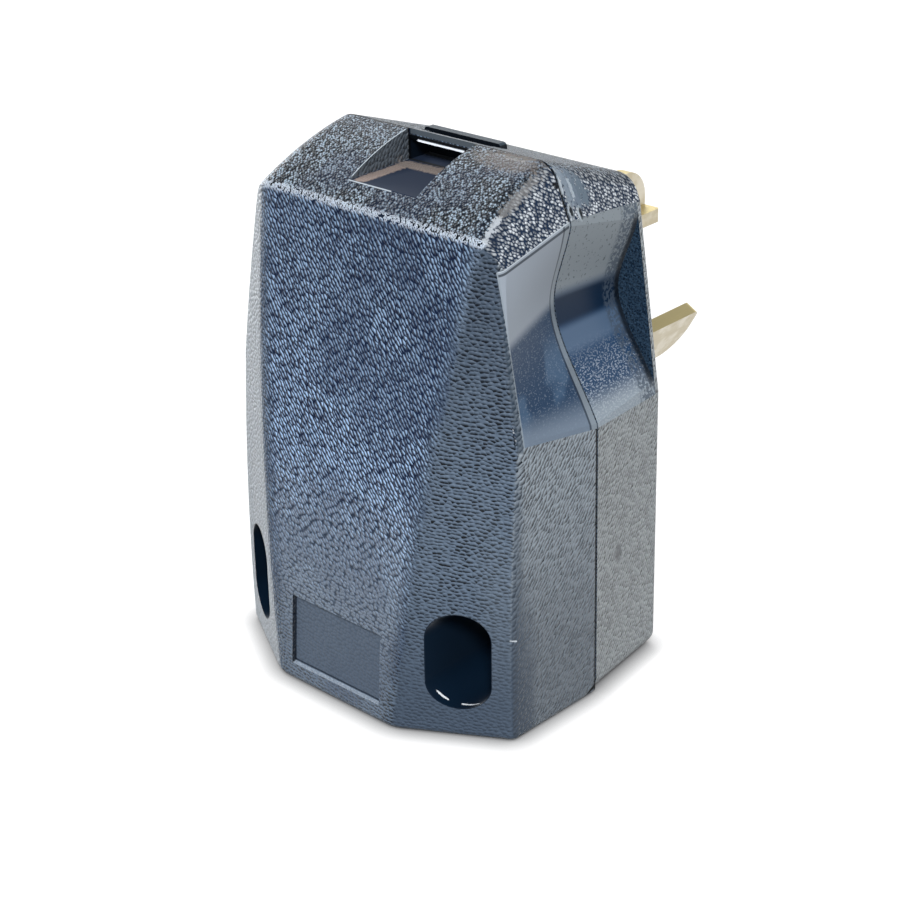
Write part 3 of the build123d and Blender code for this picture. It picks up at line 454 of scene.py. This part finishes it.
def line_distance(tree, point, start, end):
    """Distance from a straight line between two points."""
    way = Vector(end) - Vector(start)
    unit = way.normalized()
    offset = add(tree, "ShaderNodeVectorMath", {0: point, 1: start}, operation="SUBTRACT").outputs[0]
    along = add(tree, "ShaderNodeVectorMath", {0: offset, 1: unit}, operation="DOT_PRODUCT").outputs["Value"]
    within = {0: along, 1: 0.0, 2: way.length, 3: 0.0, 4: way.length}
    along = add(tree, "ShaderNodeMapRange", within).outputs[0]
    foot = add(tree, "ShaderNodeVectorMath", {0: unit, "Scale": along}, operation="SCALE").outputs[0]
    return add(tree, "ShaderNodeVectorMath", {0: offset, 1: foot}, operation="DISTANCE").outputs["Value"]


def streak(tree, point, ragged, start, end, width, rag):
    """Mask of a ragged streak between two points."""
    away = line_distance(tree, point, start, end)
    frayed = {0: ragged, 1: rag * width, 2: away}
    away = add(tree, "ShaderNodeMath", frayed, operation="MULTIPLY_ADD").outputs[0]
    fade = {0: away, 1: width * STREAK_CORE, 2: width, 3: 1.0, 4: 0.0}
    return add(tree, "ShaderNodeMapRange", fade, interpolation_type="SMOOTHSTEP").outputs[0]


def smudge(tree, point, ragged, middle, reach, rag):
    """Mask that is full at a point and fades out raggedly at a reach along each axis."""
    offset = add(tree, "ShaderNodeVectorMath", {0: point, 1: middle}, operation="SUBTRACT").outputs[0]
    share = add(tree, "ShaderNodeVectorMath", {0: offset, 1: reach}, operation="DIVIDE").outputs[0]
    away = add(tree, "ShaderNodeVectorMath", {0: share}, operation="LENGTH").outputs["Value"]
    away = add(tree, "ShaderNodeMath", {0: ragged, 1: rag, 2: away}, operation="MULTIPLY_ADD").outputs[0]
    fade = {0: away, 1: SMUDGE_CORE, 2: 1.0, 3: 1.0, 4: 0.0}
    return add(tree, "ShaderNodeMapRange", fade, interpolation_type="SMOOTHSTEP").outputs[0]


def lay(tree, coat, mask, finish):
    """Lay a finish over a coat where a mask says: its colour, and its roughness and grain if it has them."""
    if "share" in finish:
        mask = add(tree, "ShaderNodeMath", {0: mask, 1: finish["share"]}, operation="MULTIPLY").outputs[0]
    paint = {0: mask, 6: coat["colour"], 7: linear(finish["colour"])}
    coat["colour"] = add(tree, "ShaderNodeMix", paint, data_type="RGBA").outputs[2]
    for name in ("roughness", "grain"):
        if name in finish:
            coat[name] = add(tree, "ShaderNodeMix", {0: mask, 2: coat[name], 3: finish[name]}).outputs[0]


def scoop_mask(tree, values, shape):
    """Mask of a finger scoop: between its lower and upper edges, from the parting plane to its far end."""
    ends = []
    for near_z, far_z in ((SCOOP_FOOT_Z, shape["foot_z"]), (SCOOP_HEAD_Z, shape["head_z"])):
        run = {0: values["y"], 1: 0.0, 2: shape["far_y"], 3: near_z, 4: far_z}
        ends.append(add(tree, "ShaderNodeMapRange", run).outputs[0])
    height = {0: values["z"], 1: ends[0], 2: ends[1], 3: 0.0, 4: 1.0}
    share = add(tree, "ShaderNodeMapRange", height, clamp=False).outputs[0]
    inner = {
        "share": (0.0, 1.0, SCOOP_END_BORDER),
        "y": (*shape["inner_y"], SCOOP_SIDE_BORDER),
        "aside": TURNED_ASIDE,
    }
    return area(tree, {**values, "share": share}, inner), share


def pebbled_grain_with_painted_light(tree, values, grain, masks):
    """Colour and height of the moulded grain, with painted light and shade: each face has painted tones, and
    each pebble turns from a painted shaded flank to a painted lit one.
    """
    colour = height = None
    for name, face in grain.items():
        axes = {i: values[axis] for i, axis in enumerate(face["plane"])}
        flat = add(tree, "ShaderNodeCombineXYZ", axes).outputs[0]
        noise = {"Vector": flat, "Scale": 1 / GRAIN_WANDER_MM, "Detail": 1.0}
        wander = add(tree, "ShaderNodeTexNoise", noise)
        shift = {0: wander.outputs["Color"], 1: (GRAIN_SHIFT_MM, GRAIN_SHIFT_MM, 0.0), 2: flat}
        shifted = add(tree, "ShaderNodeVectorMath", shift, operation="MULTIPLY_ADD").outputs[0]
        turn = {"Vector": shifted, "Rotation": (0, 0, math.radians(face["lit"]))}
        turn["Scale"] = (1.0, face["stretch"], 1.0)
        laid = add(tree, "ShaderNodeMapping", turn, vector_type="TEXTURE").outputs[0]
        cell = {"Vector": laid, "Scale": 1 / face["spacing"]}
        cell.update({"Smoothness": PEBBLE_SMOOTHNESS, "Randomness": PEBBLE_SCATTER})
        cells = add(tree, "ShaderNodeTexVoronoi", cell, feature="SMOOTH_F1", voronoi_dimensions="2D").outputs
        apart = {0: laid, 1: cells["Position"]}
        offset = add(tree, "ShaderNodeVectorMath", apart, operation="SUBTRACT").outputs[0]
        toward = {0: offset, 1: (face["flank"] / face["spacing"], 0.0, 0.0)}
        flank = add(tree, "ShaderNodeVectorMath", toward, operation="DOT_PRODUCT").outputs["Value"]
        fall = {0: cells["Distance"], 1: 0.0, 2: 0.5, 3: face["crown"] / 2, 4: 0.0}
        crown = add(tree, "ShaderNodeMapRange", fall, clamp=False).outputs[0]
        flank = add(tree, "ShaderNodeMath", {0: flank, 1: crown}, operation="ADD").outputs[0]
        along = add(tree, "ShaderNodeSeparateXYZ", {0: offset}).outputs[1]
        along = add(tree, "ShaderNodeMath", {0: along, 1: along}, operation="MULTIPLY").outputs[0]
        ends = {0: along, 1: face["ends"] / face["spacing"] ** 2, 2: flank}
        flank = add(tree, "ShaderNodeMath", ends, operation="MULTIPLY_ADD").outputs[0]
        chance = add(tree, "ShaderNodeSeparateColor", {0: cells["Color"]}).outputs[0]
        chance = add(tree, "ShaderNodeMath", {0: chance, 1: NOISE_MIDDLE}, operation="SUBTRACT").outputs[0]
        varied = {0: chance, 1: face["vary"], 2: flank}
        flank = add(tree, "ShaderNodeMath", varied, operation="MULTIPLY_ADD").outputs[0]
        turning = {0: flank, 1: face["levels"][0], 2: face["levels"][1]}
        tone = add(tree, "ShaderNodeMapRange", turning, interpolation_type="SMOOTHSTEP").outputs[0]
        paint = {0: tone, 6: linear(face["dark"]), 7: linear(face["light"])}
        painted = add(tree, "ShaderNodeMix", paint, data_type="RGBA").outputs[2]
        fall = {0: cells["Distance"], 1: PEBBLE_DOME[0], 2: PEBBLE_DOME[1], 3: 1.0, 4: 0.0}
        dome = add(tree, "ShaderNodeMapRange", fall, interpolation_type="SMOOTHSTEP").outputs[0]
        if colour is None:
            colour, height = painted, dome
        else:
            paint = {0: masks[name], 6: colour, 7: painted}
            colour = add(tree, "ShaderNodeMix", paint, data_type="RGBA").outputs[2]
            height = add(tree, "ShaderNodeMix", {0: masks[name], 2: height, 3: dome}).outputs[0]
    return colour, height


def well_distance(tree, values):
    """Distance from the middle line of the nearer obround screw well."""
    lift = add(tree, "ShaderNodeMath", {0: values["z"], 1: WELL_MIDDLE[1]}, operation="SUBTRACT").outputs[0]
    lift = add(tree, "ShaderNodeMath", {0: lift}, operation="ABSOLUTE").outputs[0]
    lift = add(tree, "ShaderNodeMath", {0: lift, 1: WELL_STRAIGHT}, operation="SUBTRACT").outputs[0]
    lift = add(tree, "ShaderNodeMath", {0: lift, 1: 0.0}, operation="MAXIMUM").outputs[0]
    spacing = {0: values["across"], 1: WELL_MIDDLE[0]}
    aside = add(tree, "ShaderNodeMath", spacing, operation="SUBTRACT").outputs[0]
    place = add(tree, "ShaderNodeCombineXYZ", {0: aside, 1: lift}).outputs[0]
    return add(tree, "ShaderNodeVectorMath", {0: place}, operation="LENGTH").outputs["Value"]


def moulded_thermoplastic(name, grain, scoop, areas, streaks, smudges):
    """Black injection-moulded thermoplastic: pebbled grain with painted light and shade, a bluish bloom,
    smooth scoops, worn edges, painted highlights, reflections and shade.
    """
    material, tree = new_material(name)
    point, values = surface_values(tree)
    beyond = area(tree, values, FACET_SIDES)
    low = area(tree, values, FACET_FOOT)
    masks = {
        "facet": add(tree, "ShaderNodeMath", {0: beyond, 1: low}, operation="MAXIMUM").outputs[0],
        "side": area(tree, values, SIDE_FACE),
        "roof": area(tree, values, ROOF_FACE),
        "corner": area(tree, values, CORNER_FACE),
    }
    colour, height = pebbled_grain_with_painted_light(tree, values, grain, masks)
    coat = {"colour": colour, "roughness": PLASTIC_ROUGHNESS, "grain": 1.0}
    noise = {"Vector": point, "Scale": 1 / CLOUD_MM, "Detail": 3.0}
    values["cloud"] = add(tree, "ShaderNodeTexNoise", noise).outputs[0]
    noise = {"Vector": point, "Scale": 1 / RAGGED_MM, "Detail": 2.0}
    values["fleck"] = add(tree, "ShaderNodeTexNoise", noise).outputs[0]
    stretched = {"Vector": point, "Scale": (1.0, DUST_MM / STROKE_MM, 1.0)}
    strokes = add(tree, "ShaderNodeMapping", stretched).outputs[0]
    noise = {"Vector": strokes, "Scale": 1 / DUST_MM, "Detail": 2.0}
    values["dust"] = add(tree, "ShaderNodeTexNoise", noise).outputs[0]
    values["scoop"], values["share"] = scoop_mask(tree, values, scoop)
    values["well"] = well_distance(tree, values)
    values["ridge"] = line_distance(tree, point, *RIDGE)
    values["pebble"] = height
    centred = {0: values["fleck"], 1: NOISE_MIDDLE}
    ragged = add(tree, "ShaderNodeMath", centred, operation="SUBTRACT").outputs[0]
    for limits, finish in areas:
        lay(tree, coat, area(tree, values, limits), finish)
    for start, end, width, rag, finish in streaks:
        lay(tree, coat, streak(tree, point, ragged, start, end, width, rag), finish)
    for middle, reach, rag, finish in smudges:
        lay(tree, coat, smudge(tree, point, ragged, middle, reach, rag), finish)

    relief = add(tree, "ShaderNodeMath", {0: height, 1: coat["grain"]}, operation="MULTIPLY").outputs[0]
    raised = {"Strength": 1.0, "Distance": PEBBLE_HEIGHT_M, "Height": relief}
    bump = add(tree, "ShaderNodeBump", raised).outputs[0]
    inputs = {
        "Base Color": coat["colour"],
        "Roughness": coat["roughness"],
        "Specular IOR Level": PLASTIC_SPECULAR,
        "Normal": bump,
        "Sheen Weight": SHEEN_WEIGHT,
        "Sheen Roughness": SHEEN_ROUGHNESS,
        "Sheen Tint": linear(SHEEN_TINT),
    }
    shader = add(tree, "ShaderNodeBsdfPrincipled", inputs)
    add(tree, "ShaderNodeOutputMaterial", {"Surface": shader.outputs[0]})
    return material


def satin_brass():
    """Rolled brass strip: pale satin faces with fine lines along the blade, yellower cut edges."""
    material, tree = new_material("satin_rolled_brass")
    point, values = surface_values(tree)
    stretched = add(tree, "ShaderNodeMapping", {"Vector": point, "Scale": BRASS_LINES_PER_MM}).outputs[0]
    lines = add(tree, "ShaderNodeTexNoise", {"Vector": stretched, "Scale": 1.0, "Detail": 4.0}).outputs[0]
    noise = {"Vector": point, "Scale": BRASS_CLOUDS_PER_MM, "Detail": 3.0}
    cloud = add(tree, "ShaderNodeTexNoise", noise).outputs[0]
    coat = {"colour": linear("bdb39a")}
    lay(tree, coat, area(tree, {"cloud": cloud}, {"cloud": CLOUDY_PATCH}), {"colour": "d0c9b8"})
    lay(tree, coat, area(tree, values, {"up": (0.6, 1.0, 0.2)}), {"colour": "d8c894"})
    spread = {0: lines, 1: NOISE_SPAN[0], 2: NOISE_SPAN[1], 3: BRASS_ROUGHNESS[0], 4: BRASS_ROUGHNESS[1]}
    roughness = add(tree, "ShaderNodeMapRange", spread).outputs[0]
    relief = {"Strength": BRASS_LINE_STRENGTH, "Distance": BRASS_LINE_DEPTH_M, "Height": lines}
    bump = add(tree, "ShaderNodeBump", relief).outputs[0]
    inputs = {"Base Color": coat["colour"], "Metallic": 1.0, "Roughness": roughness, "Normal": bump}
    shader = add(tree, "ShaderNodeBsdfPrincipled", inputs)
    add(tree, "ShaderNodeOutputMaterial", {"Surface": shader.outputs[0]})
    return material


def zinc_steel(name, tint, dull):
    """Zinc-plated steel: cold grey with faint cloudy plating."""
    material, tree = new_material(name)
    point = surface_values(tree)[0]
    noise = {"Vector": point, "Scale": ZINC_CLOUDS_PER_MM, "Detail": 4.0}
    cloud = add(tree, "ShaderNodeTexNoise", noise).outputs[0]
    coat = {"colour": linear(tint)}
    lay(tree, coat, area(tree, {"cloud": cloud}, {"cloud": CLOUDY_PATCH}), {"colour": dull})
    spread = {0: cloud, 1: NOISE_SPAN[0], 2: NOISE_SPAN[1], 3: ZINC_ROUGHNESS[0], 4: ZINC_ROUGHNESS[1]}
    roughness = add(tree, "ShaderNodeMapRange", spread).outputs[0]
    inputs = {"Base Color": coat["colour"], "Metallic": 1.0, "Roughness": roughness}
    shader = add(tree, "ShaderNodeBsdfPrincipled", inputs)
    add(tree, "ShaderNodeOutputMaterial", {"Surface": shader.outputs[0]})
    return material


def seen_rays(tree):
    """One for rays that show the surround as white: seen directly, in a gloss or through something clear."""
    path = add(tree, "ShaderNodeLightPath").outputs
    direct = {0: path["Is Camera Ray"], 1: path["Is Glossy Ray"]}
    seen = add(tree, "ShaderNodeMath", direct, operation="MAXIMUM").outputs[0]
    through = {0: seen, 1: path["Is Transmission Ray"]}
    return add(tree, "ShaderNodeMath", through, operation="MAXIMUM").outputs[0]


def make_stage():
    """Pale floor that shows white to the camera, keeps the cast shadow, and has a painted contact shadow in
    its glow.
    """
    low = min(corner[2] for corner in cad_box)
    size = FLOOR_HALF_SIZE
    corners = [(-size, -size, low), (size, -size, low), (size, size, low), (-size, size, low)]
    mesh = bpy.data.meshes.new("floor")
    mesh.from_pydata(corners, [], [(0, 1, 2, 3)])
    floor = bpy.data.objects.new("floor", mesh)
    bpy.context.scene.collection.objects.link(floor)
    material, tree = new_material("pale_floor")
    seen = seen_rays(tree)
    # Ambient occlusion darkens the floor's glow near the part: a painted contact shadow
    contact = add(tree, "ShaderNodeAmbientOcclusion", {"Distance": CONTACT_REACH}).outputs["AO"]
    contact = add(tree, "ShaderNodeMath", {0: contact, 1: CONTACT_POWER}, operation="POWER").outputs[0]
    glow = add(tree, "ShaderNodeMath", {0: seen, 1: FLOOR_GLOW}, operation="MULTIPLY").outputs[0]
    glow = add(tree, "ShaderNodeMath", {0: glow, 1: contact}, operation="MULTIPLY").outputs[0]
    inputs = {
        "Base Color": linear(FLOOR_TONE),
        "Roughness": FLOOR_ROUGHNESS,
        "Emission Color": linear(WHITE),
        "Emission Strength": glow,
    }
    shader = add(tree, "ShaderNodeBsdfPrincipled", inputs)
    add(tree, "ShaderNodeOutputMaterial", {"Surface": shader.outputs[0]})
    mesh.materials.append(material)


def light_scene():
    """White studio surround, dimmer overhead, with soft lamps."""
    world = bpy.data.worlds.new("studio")
    bpy.context.scene.world = world
    world.use_nodes = True
    tree = world.node_tree
    tree.nodes.clear()
    direction = add(tree, "ShaderNodeTexCoord").outputs["Generated"]
    rise = add(tree, "ShaderNodeSeparateXYZ", {0: direction}).outputs[2]
    dimming = {0: rise, 1: OVERHEAD_RISE[0], 2: OVERHEAD_RISE[1]}
    overhead = add(tree, "ShaderNodeMapRange", dimming).outputs[0]
    tones = {0: overhead, 6: linear(WHITE), 7: linear(OVERHEAD_TONE)}
    tent = add(tree, "ShaderNodeMix", tones, data_type="RGBA").outputs[2]
    around = add(tree, "ShaderNodeBackground", {"Color": linear(WHITE), "Strength": SURROUND_STRENGTH})
    shown = add(tree, "ShaderNodeBackground", {"Color": tent, "Strength": 1.0})
    mix = add(tree, "ShaderNodeMixShader", {0: seen_rays(tree), 1: around.outputs[0], 2: shown.outputs[0]})
    add(tree, "ShaderNodeOutputWorld", {"Surface": mix.outputs[0]})
    for name, place, size, power, tint in LAMPS:
        data = bpy.data.lights.new(name, "AREA")
        data.size = size
        data.energy = power
        data.color = linear(tint)[:3]
        lamp = bpy.data.objects.new(name, data)
        lamp.location = place
        lamp.rotation_euler = (TARGET - Vector(place)).to_track_quat("-Z", "Y").to_euler()
        bpy.context.scene.collection.objects.link(lamp)


def finish_nodes():
    """Each piece of the frame gets its finish."""
    cover_wear = (COVER_AREAS, COVER_STREAKS, COVER_SMUDGES)
    cover = moulded_thermoplastic("moulded_cover_plastic", GRAIN_WITH_PAINTED_LIGHT, COVER_SCOOP, *cover_wear)
    housing_wear = (HOUSING_AREAS, HOUSING_STREAKS, HOUSING_SMUDGES)
    housing = moulded_thermoplastic("moulded_housing_plastic", HOUSING_GRAIN_WITH_PAINTED_LIGHT, HOUSING_SCOOP, *housing_wear)
    finishes = {"front_cover": cover, "rear_housing": housing}
    brass = satin_brass()
    screw = zinc_steel("zinc_plated_screw", "b4b8bc", "8f959b")
    plate = zinc_steel("zinc_plated_plate", "a8abad", "85898c")
    for name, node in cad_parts.items():
        finish = finishes.get(name)
        if finish is None:
            threaded = "screw" in name or "nut" in name
            finish = brass if "blade" in name else screw if threaded else plate
        node.data.materials.clear()
        node.data.materials.append(finish)


place_camera()
make_stage()
light_scene()
finish_nodes()

bpy.context.scene.view_settings.view_transform = "Standard"
